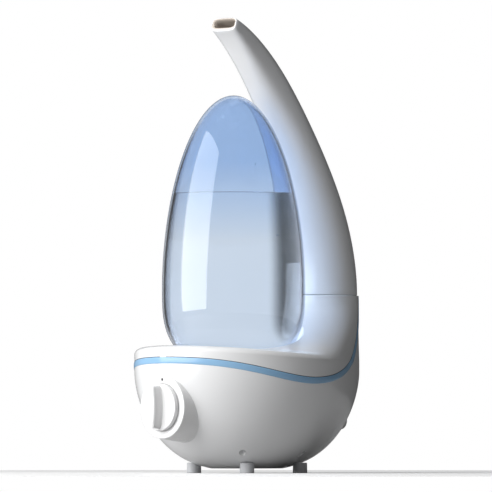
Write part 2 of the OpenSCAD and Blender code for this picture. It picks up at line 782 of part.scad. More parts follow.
module valve_plunger() {
    color([0.9, 0.92, 0.94]) at_tank() {
        rod(9, valve_z + 1.5, valve_z + 3);
        rod(stem_r, valve_z - 4, cage_top_z + 1.5);
    }
}
module valve_seal() {
    color([0.25, 0.25, 0.27]) at_tank() tube(8.5, stem_r, valve_z, valve_z + 1.5);
}
// Compression spring between the plunger's disc and the cage
module valve_spring() {
    low = valve_z + 3 + spring_wire;
    rise = cage_top_z - 2 - spring_wire - low;
    rounds = 16 * spring_turns;
    color([0.75, 0.76, 0.78]) at_tank() loft([for (k = [0:rounds])
        let (a = k * 360 / 16, z = low + rise * k / rounds)
        [for (i = [5:-1:0]) let (r = spring_r + spring_wire * cos(60 * i))
            [r * cos(a), r * sin(a), z + spring_wire * sin(60 * i)]]]);
}
module valve_pin() {
    color([0.9, 0.92, 0.94]) at_tank() {
        rod(2.2, basin_z + basin_wall, valve_z - 4.3);
        tube(8, 6, basin_z + basin_wall, basin_z + basin_wall + 2);
        for (a = [0, 90, 180, 270]) rotate(a) block(1, 7, -0.8, 0.8, basin_z + basin_wall, basin_z + 6);
    }
}
module cord_gland() {
    $fn = mesh_fn;
    color([0.85, 0.86, 0.88]) as_mesh() translate([0, 0, gland_height]) difference() {
        union() {
            y_rod(gland_r, wall_rear_y - 7, wall_rear_y + 6);
            difference() {
                y_rod(gland_r + 2.5, wall_rear_y - 6, wall_rear_y + 6);
                translate([0, 0, -gland_height]) base_form(-seam, 0);
            }
        }
        y_rod(3.4, wall_rear_y - 10, wall_rear_y + 10);
    }
}

lower_housing();
upper_shell();
tank_well();
trim_band();
bottom_plate();
foot_pads();
plate_screws();
shell_screws();
chassis();
knob_bezel();
bezel_marker();
control_knob();
potentiometer();
pot_shaft();
pot_nut();
control_board();
reservoir_basin();
basin_gasket();
basin_cover();
transducer_holder();
transducer_disc();
transducer_seal();
holder_screws();
driver_board();
heat_sink();
power_board();
transformer();
level_float();
float_magnet();
float_clip();
fan_housing();
fan_motor();
fan_impeller();
air_duct();
mist_duct();
nozzle_collar();
collar_oring();
mist_nozzle();
water_tank();
tank_cap();
cap_gasket();
valve_plunger();
valve_spring();
valve_seal();
valve_pin();
cord_gland();
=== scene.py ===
"""Looks of the cool mist humidifier: smooth shells, clear tank with water, trim, dial and finishes."""

import json
import math

import bpy
import numpy as np
from mathutils import Matrix, Vector


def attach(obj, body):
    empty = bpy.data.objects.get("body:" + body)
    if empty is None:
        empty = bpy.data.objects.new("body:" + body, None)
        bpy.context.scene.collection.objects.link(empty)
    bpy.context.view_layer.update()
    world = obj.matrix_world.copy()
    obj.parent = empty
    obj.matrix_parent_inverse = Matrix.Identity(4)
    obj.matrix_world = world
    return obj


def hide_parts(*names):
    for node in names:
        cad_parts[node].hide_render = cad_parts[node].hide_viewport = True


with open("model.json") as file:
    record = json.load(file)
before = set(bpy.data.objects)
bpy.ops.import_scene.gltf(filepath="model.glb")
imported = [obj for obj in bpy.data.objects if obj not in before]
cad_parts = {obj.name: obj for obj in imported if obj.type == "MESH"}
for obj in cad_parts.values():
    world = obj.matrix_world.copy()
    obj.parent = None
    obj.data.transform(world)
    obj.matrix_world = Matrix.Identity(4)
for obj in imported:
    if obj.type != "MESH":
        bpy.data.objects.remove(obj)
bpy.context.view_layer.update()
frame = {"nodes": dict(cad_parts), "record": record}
MM = 0.001
# Radius that stands for the axis itself in a turned profile, and a level under every piece
AXIS = 0.001
UNDER = -5

# ---- sizes shared with the part's source, in millimetres ----
NOSE_R = 88
NOSE_Y = -17.5
COLUMN_R = 33
COLUMN_Y = 86.5
BELT_Z = 88
BOWL_FLOOR_Z = 4
BOWL_DEPTH = 86
BOWL_MID_Y = -4.5
DECK_Z = 110
DECK_SLOPE = 0.09
DECK_LEVEL_Y = 28
JOINT_Z = 155
SHELL_WALL = 2.5
TAIL = COLUMN_Y - NOSE_Y
OUTLINE_BLEND = 4
FLARE_LOW_Z = 97
FLARE_POWER = 2.2
RIM_DROP = 6
RIM_REACH = 8
TANK_Y = -20.5
TANK_R = 62
TANK_BELLY_Z = 160
TANK_CROWN_H = 167
TANK_CURVE_H = 72.5
SEAT_Z = 94
TANK_WALL = 2.4
TANK_GAP = 2.2
NECK_R = 22
NECK_LOW_Z = 82
WELL_HOLE_R = 28.5
WELL_TOP = 190
WATER_Z = 241
NOZZLE_R = 32
MOUTH_Y = -32
MOUTH_Z = 388
MOUTH_HALF_W = 15
MOUTH_HALF_H = 6.2
MOUTH_TILT = 18
NOZZLE_WALL = 2.6
NOZZLE_LOW_Z = 155.3
SHELF_Z = 138
SHELF_T = 2.8
DUCT_R = 20
BEZEL_R = 27
KNOB_Z = 56.6
BEZEL_FACE_Y = -106.3
DIAL_R = 20.4
DIAL_T = 4.3
GRIP_H = 9.2
RECESS_T = 0.8
RUN_GAP = 0.3
HUB_R = 5
FOOT_X = 32.7
FOOT_Y = 32.3
FEET_MID_Y = -4.2
FOOT_R = 6.3
PLATE_CUT_R = 38.5
PLATE_CUT_TOP = 12
SCREW_SPOTS = [(50, 12), (-50, 12), (42, -51), (-42, -51)]
SCREW_RECESS_R = 3.2
SCREW_HEAD_Z = 26


# ---- working by hand: selecting, adding, shaping ----
def let_go():
    """Leaves edit mode and deselects everything."""
    if bpy.context.object and bpy.context.object.mode != "OBJECT":
        bpy.ops.object.mode_set(mode="OBJECT")
    bpy.ops.object.select_all(action="DESELECT")


def take(piece):
    """Selects one piece alone and makes it the active one."""
    let_go()
    piece.select_set(True)
    bpy.context.view_layer.objects.active = piece


def edit_all(piece):
    take(piece)
    bpy.ops.object.mode_set(mode="EDIT")
    bpy.ops.mesh.select_mode(type="VERT")
    bpy.ops.mesh.select_all(action="SELECT")


def close_up(piece, outwards=True):
    """Merges doubled points and turns every face outwards."""
    edit_all(piece)
    bpy.ops.mesh.remove_doubles(threshold=1e-6)
    bpy.ops.mesh.normals_make_consistent(inside=not outwards)
    let_go()


def smooth(piece, degrees=40):
    take(piece)
    bpy.ops.object.shade_smooth_by_angle(angle=math.radians(degrees))
    let_go()


def named_last(name):
    piece = bpy.context.object
    piece.name = name
    piece.data.name = name
    return piece


def formed_sheet(name, points):
    """A grid, its crossings moved onto points[row][column], seams merged."""
    points = np.asarray(points, dtype=float) * MM
    rows, columns = points.shape[:2]
    let_go()
    bpy.ops.mesh.primitive_grid_add(x_subdivisions=columns - 1, y_subdivisions=rows - 1, size=1)
    piece = named_last(name)
    piece.data.vertices.foreach_set("co", points.reshape(-1))
    piece.data.update()
    close_up(piece)
    return piece


def drawn_path(name, points):
    """A chain of edges through points, extruded one by one from a collapsed plane."""
    points = [Vector(p) * MM for p in points]
    let_go()
    bpy.ops.mesh.primitive_plane_add(size=0.01)
    piece = named_last(name)
    bpy.ops.object.mode_set(mode="EDIT")
    bpy.ops.mesh.select_mode(type="VERT")
    bpy.ops.mesh.select_all(action="SELECT")
    bpy.ops.mesh.merge(type="CENTER")
    bpy.ops.transform.translate(value=points[0])
    for here, there in zip(points, points[1:]):
        bpy.ops.mesh.extrude_region_move(TRANSFORM_OT_translate={"value": there - here})
    return piece


def turned(name, profile, centre=(0, 0), steps=96, closed=True):
    """A profile of radius and height spun round an upright axis."""
    ring = list(profile) + ([profile[0]] if closed else [])
    piece = drawn_path(name, [(centre[0] + r, centre[1], z) for r, z in ring])
    bpy.ops.mesh.select_all(action="SELECT")
    middle = (centre[0] * MM, centre[1] * MM, 0)
    bpy.ops.mesh.spin(steps=steps, angle=math.tau, center=middle, axis=(0, 0, 1))
    close_up(piece)
    return piece


def with_modifier(piece, kind, **settings):
    take(piece)
    bpy.ops.object.modifier_add(type=kind)
    modifier = piece.modifiers[-1]
    for key, value in settings.items():
        setattr(modifier, key, value)
    bpy.ops.object.modifier_apply(modifier=modifier.name)
    let_go()


def cut(piece, tool, operation="DIFFERENCE", keep=False):
    with_modifier(piece, "BOOLEAN", operation=operation, object=tool, solver="MANIFOLD")
    if not keep:
        drop(tool)


def drop(piece):
    bpy.data.objects.remove(piece, do_unlink=True)


def copy_of(piece, name):
    take(piece)
    bpy.ops.object.duplicate()
    return named_last(name)


def softened(corners, radius, parts=5):
    """A profile with its inner corners rounded."""
    corners = [np.array(c, dtype=float) for c in corners]
    made = [corners[0]]
    for before, corner, after in zip(corners, corners[1:], corners[2:]):
        near, far_side = before - corner, after - corner
        reach = min(radius, np.linalg.norm(near) / 2.2, np.linalg.norm(far_side) / 2.2)
        start = corner + near / np.linalg.norm(near) * reach
        end = corner + far_side / np.linalg.norm(far_side) * reach
        for k in range(parts + 1):
            t = k / parts
            made.append(start * (1 - t) ** 2 + corner * 2 * t * (1 - t) + end * t * t)
    made.append(corners[-1])
    return [tuple(p) for p in made]


def finished(piece, body, slot, *nodes, degrees=40):
    smooth(piece, degrees)
    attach(piece, body)
    if nodes:
        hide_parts(*nodes)
    return piece


# ---- the base's form ----
def outline(t, g, size=1.0):
    """Points of the base outline at angles t: g is 0 at the column and 1 at the whole base."""
    column = COLUMN_R + TAIL * np.sin(t)
    gap = (NOSE_R - column) / 2
    mix = np.sqrt(gap**2 + OUTLINE_BLEND**2)
    reach = (1 - g) * column + g * ((NOSE_R + column) / 2 + mix)
    rate = TAIL * np.cos(t) * ((1 - g) + g * (1 - gap / mix) / 2)
    x = reach * np.cos(t) - rate * np.sin(t)
    y = NOSE_Y + reach * np.sin(t) + rate * np.cos(t)
    return size * x, BOWL_MID_Y + size * (y - BOWL_MID_Y)


def reach_between(t):
    """Distance from the whole outline in to the column's circle, square to the outline."""
    column = COLUMN_R + TAIL * np.sin(t)
    gap = (NOSE_R - column) / 2
    return gap + np.sqrt(gap**2 + OUTLINE_BLEND**2)


def deck_at(y):
    return DECK_Z - DECK_SLOPE * (np.minimum(y, DECK_LEVEL_Y) - NOSE_Y + NOSE_R)


def bowl_size(z):
    return (1 - ((BELT_Z - z) / BOWL_DEPTH) ** 1.75) ** 0.36


def ring(t, x, y, z):
    return np.stack([x, y, np.broadcast_to(z, t.shape)], axis=-1)


def top_ring(t, q):
    """One ring of the deck and column: q runs from the rim at 0 to the column's joint at 1."""
    x, y = outline(t, 1 - q)
    inward = reach_between(t) * q
    drop_now = RIM_DROP * (1 - np.sqrt(1 - np.clip(1 - inward / RIM_REACH, 0, 1) ** 2))
    deck = deck_at(y) - drop_now
    flare = JOINT_Z - (JOINT_Z - FLARE_LOW_Z) * (1 - q) ** (1 / FLARE_POWER)
    fillet = 4
    z = (deck + flare + np.sqrt((deck - flare) ** 2 + fillet**2)) / 2
    return x, y, np.minimum(z, JOINT_Z)


def body_form(name):
    """The whole base as one closed form, from its flat underside to the column's joint."""
    around = 216
    t = np.linspace(0, math.tau, around + 1)
    rings = [ring(t, *outline(t, 1, s), BOWL_FLOOR_Z) for s in (0, 0.1, 0.2, 0.28)]
    for k in range(41):
        z = BOWL_FLOOR_Z + (BELT_Z - BOWL_FLOOR_Z) * (1 - math.cos(math.pi / 2 * k / 40))
        rings.append(ring(t, *outline(t, 1, bowl_size(z)), z))
    rim_z = top_ring(t, 0)[2]
    for k in range(1, 9):
        rings.append(ring(t, *outline(t, 1), BELT_Z + (rim_z - BELT_Z) * k / 9))
    levels = set(round((k / 46) ** 2.2, 5) for k in range(46))
    levels |= set(round(1 - ((JOINT_Z - z) / (JOINT_Z - FLARE_LOW_Z)) ** FLARE_POWER, 5)
                  for z in np.linspace(97.5, 154.2, 34))
    for q in sorted(levels):
        rings.append(ring(t, *top_ring(t, q)))
    for inward, z in ((0, 154.5), (0.25, 154.85), (0.7, JOINT_Z), (2.6, JOINT_Z), (COLUMN_R, JOINT_Z)):
        reach = COLUMN_R - inward
        rings.append(ring(t, reach * np.cos(t), COLUMN_Y + reach * np.sin(t), z))
    return formed_sheet(name, rings)


# ---- the curve that parts the shells, seen from the side ----
def bezier(a, b, c, d, t):
    a, b, c, d = (np.array(p, dtype=float) for p in (a, b, c, d))
    t = np.asarray(t, dtype=float)[..., None]
    return a * (1 - t) ** 3 + b * 3 * t * (1 - t) ** 2 + c * 3 * t * t * (1 - t) + d * t**3


REAR_END_Y = COLUMN_Y + 0.74 * COLUMN_R
LINE_FRONT_Z = BELT_Z + 10.7
FRONT_CURVE = [(-125, LINE_FRONT_Z), (-75, BELT_Z + 9), (-45, BELT_Z - 10), (-2, BELT_Z - 8)]
REAR_CURVE = [(-2, BELT_Z - 8), (30, BELT_Z - 6.5), (REAR_END_Y, BELT_Z + 4), (REAR_END_Y, JOINT_Z + 3)]


def part_line(count):
    """Points in Y and Z along the parting curve, evenly enough spaced."""
    t = np.linspace(0, 1, count)
    return np.concatenate([bezier(*FRONT_CURVE, t), bezier(*REAR_CURVE, t)[1:]])


def below_tool():
    """A block under and behind the parting curve."""
    far = 200
    side = [tuple(p) for p in part_line(40)]
    side += [(REAR_END_Y, far), (far, far), (far, -far), (-far, -far), (-far, LINE_FRONT_Z)]
    tool = drawn_path("below_tool", [(-far, y, z) for y, z in side])
    bpy.ops.mesh.select_all(action="SELECT")
    bpy.ops.mesh.edge_face_add()
    bpy.ops.mesh.extrude_region_move(TRANSFORM_OT_translate={"value": (2 * far * MM, 0, 0)})
    close_up(tool)
    return tool


# ---- tank outlines ----
def tank_radius(z):
    if z >= TANK_BELLY_Z:
        return TANK_R * math.sqrt(max(0, 1 - ((z - TANK_BELLY_Z) / TANK_CROWN_H) ** 1.9))
    return TANK_R * math.sqrt(1 - ((TANK_BELLY_Z - z) / TANK_CURVE_H) ** 3.2)


def tank_side(inset, low, high, count):
    """Radius and height from low to high, moved in by inset square to the wall."""
    made = []
    for k in range(count + 1):
        z = low + (high - low) * math.sin(math.pi / 2 * k / count)
        top = TANK_BELLY_Z + TANK_CROWN_H
        step = 0.05
        slope = (tank_radius(min(z + step, top)) - tank_radius(z - step)) / (2 * step)
        slope = max(slope, -60)
        length = math.hypot(1, slope)
        made.append((max(tank_radius(min(z, top)) - inset / length, 0), z + inset * slope / length))
    return made


def well_side(wall):
    return [(tank_radius(SEAT_Z + 9) + 1.6 + wall, SEAT_Z - wall),
            (tank_radius(SEAT_Z + 15) + TANK_GAP + wall, SEAT_Z + 15),
            (tank_radius(SEAT_Z + 25) + TANK_GAP + wall, SEAT_Z + 25),
            (tank_radius(SEAT_Z + 39) + TANK_GAP + wall, SEAT_Z + 39),
            (TANK_R + TANK_GAP + wall, SEAT_Z + 56)]


def well_form(name, wall, steps=144):
    side = softened(well_side(wall), 5)
    profile = [(AXIS, SEAT_Z - wall)] + side + [(TANK_R + TANK_GAP + wall, WELL_TOP), (AXIS, WELL_TOP)]
    return turned(name, profile, (0, TANK_Y), steps)


def rim_tool(solid):
    """A ring that rounds the edge where the well meets the deck and the column's flare."""
    count = 144
    rows = []
    sweep = [0, 18, 36, 54, 70]
    radius = 1.6
    for k in range(count + 1):
        a = math.tau * k / count
        out = Vector((math.cos(a), math.sin(a), 0))
        base = TANK_R + TANK_GAP
        for _ in range(3):
            spot = Vector((0, TANK_Y, 0)) + out * (base + 1)
            hit, place, normal, _face = solid.ray_cast((spot.x * MM, spot.y * MM, 0.4), (0, 0, -1))
            high = place.z / MM if hit else DECK_Z
            base = well_radius(high)
        row = [(base - 3, high - radius)]
        row += [(base + radius * (1 - math.cos(math.radians(s))),
                 high - radius + radius * math.sin(math.radians(s))) for s in sweep]
        row += [(base + radius + 0.6, high + 2.5), (base - 3, high + 2.5), (base - 3, high - radius)]
        rows.append([(r * out.x, TANK_Y + r * out.y, z) for r, z in row])
    return formed_sheet("rim_tool", rows)


def well_radius(z):
    side = well_side(0)
    return float(np.interp(z, [p[1] for p in side], [p[0] for p in side]))


# ---- shells of the base ----
solid = body_form("body_solid")
shell = copy_of(solid, "body_shell")
edit_all(shell)
bpy.ops.mesh.select_all(action="DESELECT")
let_go()
for face in shell.data.polygons:
    place = face.center / MM
    face.select = place.z > JOINT_Z - 0.05 and math.hypot(place.x, place.y - COLUMN_Y) < COLUMN_R - 2.5
take(shell)
bpy.ops.object.mode_set(mode="EDIT")
bpy.ops.mesh.select_mode(type="FACE")
bpy.ops.mesh.delete(type="FACE")
let_go()
with_modifier(shell, "SOLIDIFY", thickness=SHELL_WALL * MM, offset=-1, use_even_offset=True)
below = below_tool()

bowl = copy_of(shell, "bowl_housing")
cut(bowl, below, "INTERSECT", keep=True)
for index, (x, y) in enumerate(SCREW_SPOTS):
    cup_r = SCREW_RECESS_R + 1.6
    cup_top = SCREW_HEAD_Z + 3
    cup_side = [(AXIS, UNDER), (cup_r, UNDER), (cup_r, cup_top), (AXIS, cup_top)]
    cup = turned(f"cup_{index}", cup_side, (x, y), 32)
    cut(cup, solid, "INTERSECT", keep=True)
    cut(bowl, cup, "UNION")
    bore_side = [(AXIS, UNDER), (SCREW_RECESS_R, UNDER), (SCREW_RECESS_R, SCREW_HEAD_Z), (AXIS, SCREW_HEAD_Z)]
    bore = turned(f"bore_{index}", softened(bore_side, 0.2, 1), (x, y), 32)
    cut(bowl, bore)
plate_r = PLATE_CUT_R + 0.15
plate_side = [(AXIS, UNDER), (plate_r, UNDER), (plate_r, PLATE_CUT_TOP), (AXIS, PLATE_CUT_TOP)]
plate_hole = turned("plate_hole", plate_side, (0, FEET_MID_Y), 96)
cut(bowl, plate_hole)
finished(bowl, "base", "white_housing", "lower_housing")

deck = copy_of(shell, "deck_shell")
cut(deck, below)
well_outer = well_form("well_outer", SHELL_WALL)
cut(well_outer, solid, "INTERSECT", keep=True)
cut(deck, well_outer, "UNION")
cut(deck, well_form("well_inner", 0))
cut(deck, rim_tool(solid))
seat_side = [(AXIS, 60), (WELL_HOLE_R, 60), (WELL_HOLE_R, 100), (AXIS, 100)]
seat_hole = turned("seat_hole", seat_side, (0, TANK_Y), 96)
cut(deck, seat_hole)
finished(deck, "base", "white_housing", "upper_shell", "tank_well")
drop(shell)

shelf_in_r = DUCT_R + 7
shelf_out_r = COLUMN_R - 2.2
shelf_top = SHELF_Z + SHELF_T
shelf_side = [(shelf_in_r, SHELF_Z), (shelf_out_r, SHELF_Z), (shelf_out_r, shelf_top),
              (shelf_in_r, shelf_top), (shelf_in_r, SHELF_Z)]
shelf = turned("column_shelf", softened(shelf_side, 0.4, 3)[:-1], (0, COLUMN_Y), 96)
finished(shelf, "base", "white_housing")


# ---- trim band ----
def trim_path(count=420):
    """Points and outward directions along the parting curve on the base's surface."""
    fine = part_line(1500)
    length = np.concatenate([[0], np.cumsum(np.linalg.norm(np.diff(fine, axis=0), axis=1))])
    inside = []
    for k, (y, z) in enumerate(fine):
        if z > JOINT_Z - 0.3:
            break
        hit, place, normal, _face = solid.ray_cast((0.2, y * MM, z * MM), (-1, 0, 0))
        if hit and place.x > 0:
            inside.append(k)
    start, end = length[inside[0]], length[inside[-1]]
    side = []
    for u in np.linspace(0, 1, 900) ** 2:
        here = start + (end - start) * u
        y, z = (np.interp(here, length, fine[:, axis]) for axis in (0, 1))
        hit, place, normal, _face = solid.ray_cast((0.2, y * MM, z * MM), (-1, 0, 0))
        if hit:
            side.append([*(place / MM), *normal])
    side = np.array(side)
    mirrored = side[::-1] * np.array([-1, 1, 1, -1, 1, 1])
    both = np.concatenate([mirrored, side])
    gone = np.concatenate([[0], np.cumsum(np.linalg.norm(np.diff(both[:, :3], axis=0), axis=1))])
    even = np.linspace(0, gone[-1], count)
    made = np.stack([np.interp(even, gone, both[:, k]) for k in range(6)], axis=1)
    for _ in range(6):
        made[1:-1] = (made[:-2] + 2 * made[1:-1] + made[2:]) / 4
    return made[:, :3], made[:, 3:] / np.linalg.norm(made[:, 3:], axis=1)[:, None]


path, outward = trim_path()
along = np.gradient(path, axis=0)
along /= np.linalg.norm(along, axis=1)[:, None]
across = np.cross(outward, along)
across /= np.linalg.norm(across, axis=1)[:, None]


def ribbon(name, profile):
    """A closed strip along the parting curve. The profile gives places across it and heights above."""
    rows = [[p + a * b + n * h for b, h in profile] for p, a, n in zip(path, across, outward)]
    mid = [[np.mean(row[:-1], axis=0)] * len(row) for row in (rows[0], rows[-1])]
    return formed_sheet(name, [mid[0]] + rows + [mid[1]])


BAND_PROFILE = [(-3.1, -0.9), (-3.05, 0.05), (-2.85, 0.28), (-2.3, 0.42), (-1.2, 0.48), (0, 0.5), (1, 0.48),
                (1.8, 0.42), (2.25, 0.28), (2.45, 0.05), (2.5, -0.9), (-3.1, -0.9)]
band = ribbon("trim_ribbon", BAND_PROFILE)
finished(band, "base", "blue_trim", "trim_band", degrees=60)
# A thin near-black strip along the band's upper edge is painted shadow. It stands for the shade under the
# deck's edge and wears the dark seal rubber finish, though no seal is there.
PAINTED_SHADOW_PROFILE = [(2.35, -0.5), (2.35, 0.06), (2.95, 0.06), (2.95, -0.5), (2.35, -0.5)]
painted_shadow_line = ribbon("trim_painted_shadow", PAINTED_SHADOW_PROFILE)
finished(painted_shadow_line, "base", "seal_rubber", degrees=60)

# ---- nozzle ----
PATH = [(COLUMN_Y, NOZZLE_LOW_Z), (COLUMN_Y + 0.5, JOINT_Z + 85), (MOUTH_Y + 60, MOUTH_Z - 36),
        (MOUTH_Y, MOUTH_Z)]


def nozzle_ring(t, wall, lift, round_in=0.0, along_by=0.0):
    """One section of the swan neck, square to its path."""
    here = min(max(t, 0), 1)
    place = bezier(*PATH, t)
    step = 0.0005
    way = bezier(*PATH, min(here + step, 1)) - bezier(*PATH, max(here - step, 0))
    own = math.degrees(math.atan2(way[1], -way[0]))
    a = math.radians(own + (MOUTH_TILT - own) * max(0, (t - 0.8) / 0.2) ** 2)
    power = 2 / (2 + 2 * here**3)
    narrowing = math.sin(math.pi / 2 * min(1, 1.1 * here)) ** 2
    flattening = here**1.5 + 0.15 * math.sin(math.pi * here) ** 4
    wide = NOZZLE_R + (MOUTH_HALF_W - NOZZLE_R) * narrowing - wall - round_in
    deep = NOZZLE_R + (MOUTH_HALF_H - NOZZLE_R) * flattening - wall - round_in
    q = np.linspace(0, math.tau, 97)
    x = wide * np.sign(np.cos(q)) * np.abs(np.cos(q)) ** power
    v = deep * np.sign(np.sin(q)) * np.abs(np.sin(q)) ** power + lift * here**6
    centre = place + along_by * np.array([-math.cos(a), math.sin(a)])
    return np.stack([x, centre[0] + v * math.sin(a), centre[1] + v * math.cos(a)], axis=-1)


rings = [nozzle_ring(0, 0, 0, 0.6), nozzle_ring(0.001, 0, 0, 0.2)]
rings += [nozzle_ring(t, 0, 0) for t in np.linspace(0.003, 1, 72)]
rings += [nozzle_ring(1, *lip) for lip in ((0, 0, 0.25, 0.35), (0, 0.2, 0.8, 0.55), (0.9, 0.6, 0.6, 0.5))]
rings += [nozzle_ring(t, NOZZLE_WALL, 1) for t in np.linspace(0.998, 0.004, 48)]


def foot_ring(reach, z):
    q = np.linspace(0, math.tau, 97)
    return np.stack([reach * np.cos(q), COLUMN_Y + reach * np.sin(q), np.full(97, float(z))], axis=-1)


rings += [foot_ring(NOZZLE_R - NOZZLE_WALL, NOZZLE_LOW_Z), rings[0]]
nozzle = formed_sheet("swan_nozzle", rings)


def bore_faces(piece):
    """Marks the faces inside the swan neck, which take the second finish."""
    line = [Vector((0, *bezier(*PATH, t))) * MM for t in np.linspace(0, 1, 120)]
    for face in piece.data.polygons:
        nearest = min(line, key=lambda spot: (spot - face.center).length_squared)
        inward = (face.center - nearest).dot(face.normal) < 0
        face.material_index = int(inward and face.center.z > NOZZLE_LOW_Z * MM)


bore_faces(nozzle)
finished(nozzle, "nozzle", "white_nozzle", "mist_nozzle", degrees=50)

# ---- tank and water ----
crown_z = TANK_BELLY_Z + TANK_CROWN_H
outside = tank_side(0, SEAT_Z + 0.6, crown_z, 90)
inside = tank_side(TANK_WALL, SEAT_Z + TANK_WALL + 1.5, crown_z, 90)
FLOOR_Z = SEAT_Z + TANK_WALL
NECK_IN_R = NECK_R - 3
foot_profile = [(NECK_IN_R, FLOOR_Z), (NECK_IN_R, NECK_LOW_Z), (NECK_R, NECK_LOW_Z), (NECK_R, SEAT_Z - 0.2),
                (outside[0][0] - 1.2, SEAT_Z)]
crown = [(AXIS, crown_z), (AXIS, crown_z - TANK_WALL)]
wall_profile = foot_profile + outside[:-1] + crown + inside[::-1][1:] + [(inside[0][0] - 1.5, FLOOR_Z)]
tank = turned("clear_tank", wall_profile, (0, TANK_Y), 128)
finished(tank, "tank", "blue_clear", "water_tank", degrees=60)

GAP_TO_WALL = 0.12
side = tank_side(TANK_WALL + GAP_TO_WALL, FLOOR_Z + 1.6, WATER_Z + 4, 80)
water_side = [p for p in side if p[1] < WATER_Z - 0.2]
edge_r = float(np.interp(WATER_Z + 0.7, [p[1] for p in inside], [p[0] for p in inside])) - GAP_TO_WALL
surface = [(edge_r, WATER_Z + 0.7), (edge_r - 0.5, WATER_Z + 0.35), (edge_r - 1.4, WATER_Z + 0.08),
           (edge_r - 3, WATER_Z), (edge_r * 0.6, WATER_Z), (AXIS, WATER_Z)]
bottom = [(AXIS, FLOOR_Z + 0.2), (water_side[0][0] - 1.2, FLOOR_Z + 0.2)]
water_profile = bottom + water_side + surface
water = turned("tank_water", water_profile, (0, TANK_Y), 128)
smooth(water, 60)
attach(water, "tank")


def bubble_spots(count):
    """Places of small bubbles clinging to the inside of the tank's wall."""
    rng = np.random.default_rng(7)
    spots = []
    for _ in range(count):
        z = SEAT_Z + 8 + (WATER_Z + 50 - SEAT_Z) * rng.random() ** 1.1
        a = math.tau * rng.random()
        size = 0.22 + 0.4 * rng.random() ** 2
        reach = float(np.interp(z, [p[1] for p in inside], [p[0] for p in inside])) - size * 0.9
        spots.append((reach * math.cos(a), TANK_Y + reach * math.sin(a), z, size))
    return spots


let_go()
bubbles = []
for x, y, z, size in bubble_spots(42):
    bpy.ops.mesh.primitive_ico_sphere_add(subdivisions=2, radius=size * MM, location=(x * MM, y * MM, z * MM))
    bubbles.append(bpy.context.object)
let_go()
for bubble in bubbles:
    bubble.select_set(True)
bpy.context.view_layer.objects.active = bubbles[0]
bpy.ops.object.join()
bubbles = named_last("tank_bubbles")
bpy.ops.object.transform_apply(location=True, rotation=True, scale=True)
smooth(bubbles, 80)
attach(bubbles, "tank")


# ---- bezel and dial ----
def facing_front(piece):
    """Turns a piece made upright so that its +Z end faces the front, on the knob's axis."""
    turn = Matrix(((1, 0, 0), (0, 0, -1), (0, 1, 0)))
    points = np.empty(len(piece.data.vertices) * 3)
    piece.data.vertices.foreach_get("co", points)
    points = points.reshape(-1, 3) @ np.array(turn).T + np.array([0, 0, KNOB_Z * MM])
    piece.data.vertices.foreach_set("co", points.reshape(-1))
    piece.data.update()
    close_up(piece)
    return piece


FACE = -BEZEL_FACE_Y
RECESS_Y = FACE - RECESS_T
BACK_Y = FACE - 29
bezel_side = [(BEZEL_R + 3.6, BACK_Y), (BEZEL_R, FACE), (DIAL_R + RUN_GAP, FACE),
              (DIAL_R + RUN_GAP, RECESS_Y), (HUB_R + 1.5, RECESS_Y), (HUB_R + 1.5, RECESS_Y - 2), (BEZEL_R - 2.5, RECESS_Y - 2),
              (BEZEL_R - 0.5, BACK_Y), (BEZEL_R + 3.6, BACK_Y)]
bezel_profile = softened(bezel_side, 0.8, 4)[:-1]
bezel = facing_front(turned("bezel_ring", bezel_profile, (0, 0), 128))
bezel_trim = copy_of(solid, "bezel_trim")
cut(bezel, bezel_trim)
finished(bezel, "base", "white_knob", "knob_bezel")

front = FACE + DIAL_T
dial_low = RECESS_Y + RUN_GAP
dial_profile = softened([(AXIS, dial_low), (DIAL_R, dial_low), (DIAL_R, front), (AXIS, front)], 1.4, 5)
dial = facing_front(turned("dial", dial_profile, (0, 0), 128))


# How far each ring of the grip stands off the dial, and how wide it is for the widest
GRIP_RINGS = [(-0.8, 1.0), (0.0, 1.0), (0.5, 0.93), (3, 0.88), (6, 0.82), (7.9, 0.76), (8.7, 0.66), (9.1, 0.5),
              (GRIP_H, 0.28)]
GRIP_HALF_LENGTH = 18.6


def grip_rows():
    """Rings of the lens-shaped grip bar, from the dial's face up to its rounded crest."""
    rows = []
    for lift, narrow in GRIP_RINGS:
        q = np.linspace(0, math.tau, 65)
        z = GRIP_HALF_LENGTH * (narrow if lift > 8 else 1 - 0.01 * max(lift, 0)) ** 0.35 * np.sin(q)
        lean = np.abs(np.cos(q))
        x = (0.9 + 4.4 * lean**0.9) * narrow * np.sign(np.cos(q)) * np.clip(lean * 6, 0, 1)
        rows.append(np.stack([x, np.full(65, -(front + lift)), KNOB_Z + z], axis=-1))
    ends = []
    for row in (rows[0], rows[-1]):
        end = row.copy()
        end[:, 0] = 0
        end[:, 2] = KNOB_Z
        ends.append(end)
    return [ends[0]] + rows + [ends[1]]


grip = formed_sheet("dial_grip", grip_rows())
cut(dial, grip, "UNION")
finished(dial, "knob", "white_knob", "control_knob", degrees=35)

# ---- feet ----
FOOT_H = 9
pad_side = softened([(AXIS, 0), (FOOT_R, 0), (FOOT_R - 0.2, FOOT_H), (AXIS, FOOT_H)], 0.7, 4)
pad = turned("foot_front_right", pad_side, (FOOT_X, FEET_MID_Y - FOOT_Y), 64)
feet = [pad]
OTHER_FEET = [("foot_front_left", -2 * FOOT_X, 0), ("foot_rear_right", 0, 2 * FOOT_Y),
              ("foot_rear_left", -2 * FOOT_X, 2 * FOOT_Y)]
for name, dx, dy in OTHER_FEET:
    foot = copy_of(pad, name)
    edit_all(foot)
    bpy.ops.transform.translate(value=(dx * MM, dy * MM, 0))
    let_go()
    feet.append(foot)
for foot in feet:
    finished(foot, "base", "foot_rubber", "foot_pads")

drop(solid)


